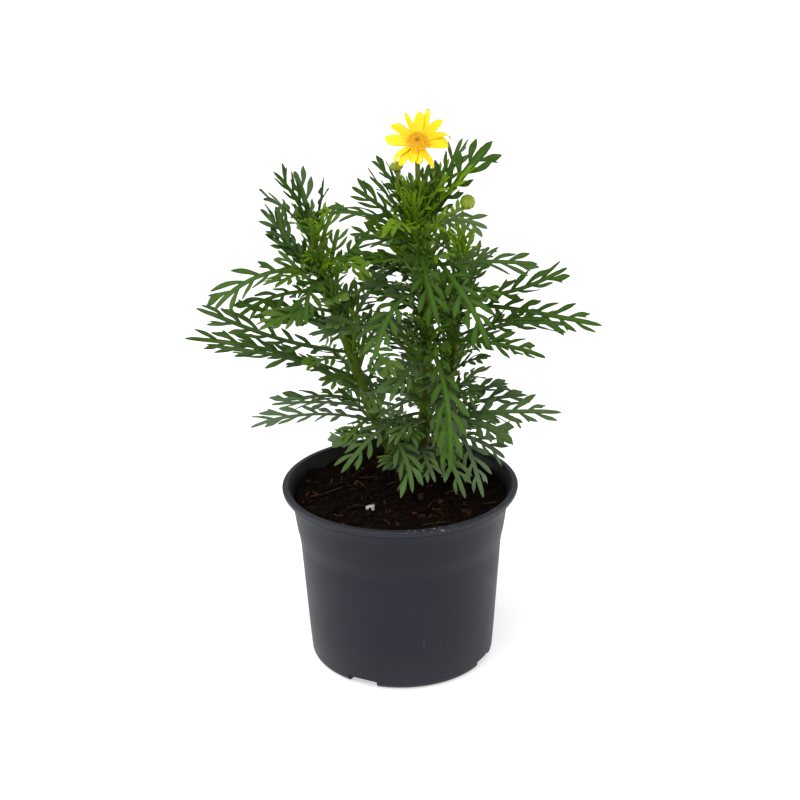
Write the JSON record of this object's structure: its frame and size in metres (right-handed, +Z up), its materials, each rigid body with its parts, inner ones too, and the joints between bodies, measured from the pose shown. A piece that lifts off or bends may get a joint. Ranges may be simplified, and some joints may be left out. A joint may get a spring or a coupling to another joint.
{
  "type": "potted euryops",
  "caption": "Potted euryops: bushy plant with finely cut green leaves, one open yellow daisy and two buds, in a plain dark round nursery pot filled with soil.",
  "frame": {"origin": "centre of the pot's base, in the plane of the surface it stands on", "axes": "+Z up along the pot's axis; -Y is the front, the side the picture shows; +X is to the right seen from the front"},
  "size_m": [0.2581, 0.1838, 0.3513],
  "materials": {
    "pot_plastic": "satin dark slate grey moulded plastic",
    "soil": "crumbly dark peat with bark",
    "foliage": "slightly glossy green leaf",
    "petal_yellow": "soft bright yellow petal",
    "disc_orange": "grainy orange florets",
    "bud_green": "yellow-green bud scales"
  },
  "bodies": {
    "root": {"pot": "pot_plastic", "soil": "soil", "main_leafy_stem": "foliage", "left_leafy_stem": "foliage", "back_leafy_stem": "foliage", "flower_rays": "petal_yellow", "flower_disc": "disc_orange", "right_bud": "bud_green", "left_bud": "bud_green"}
  },
  "joints": []
}
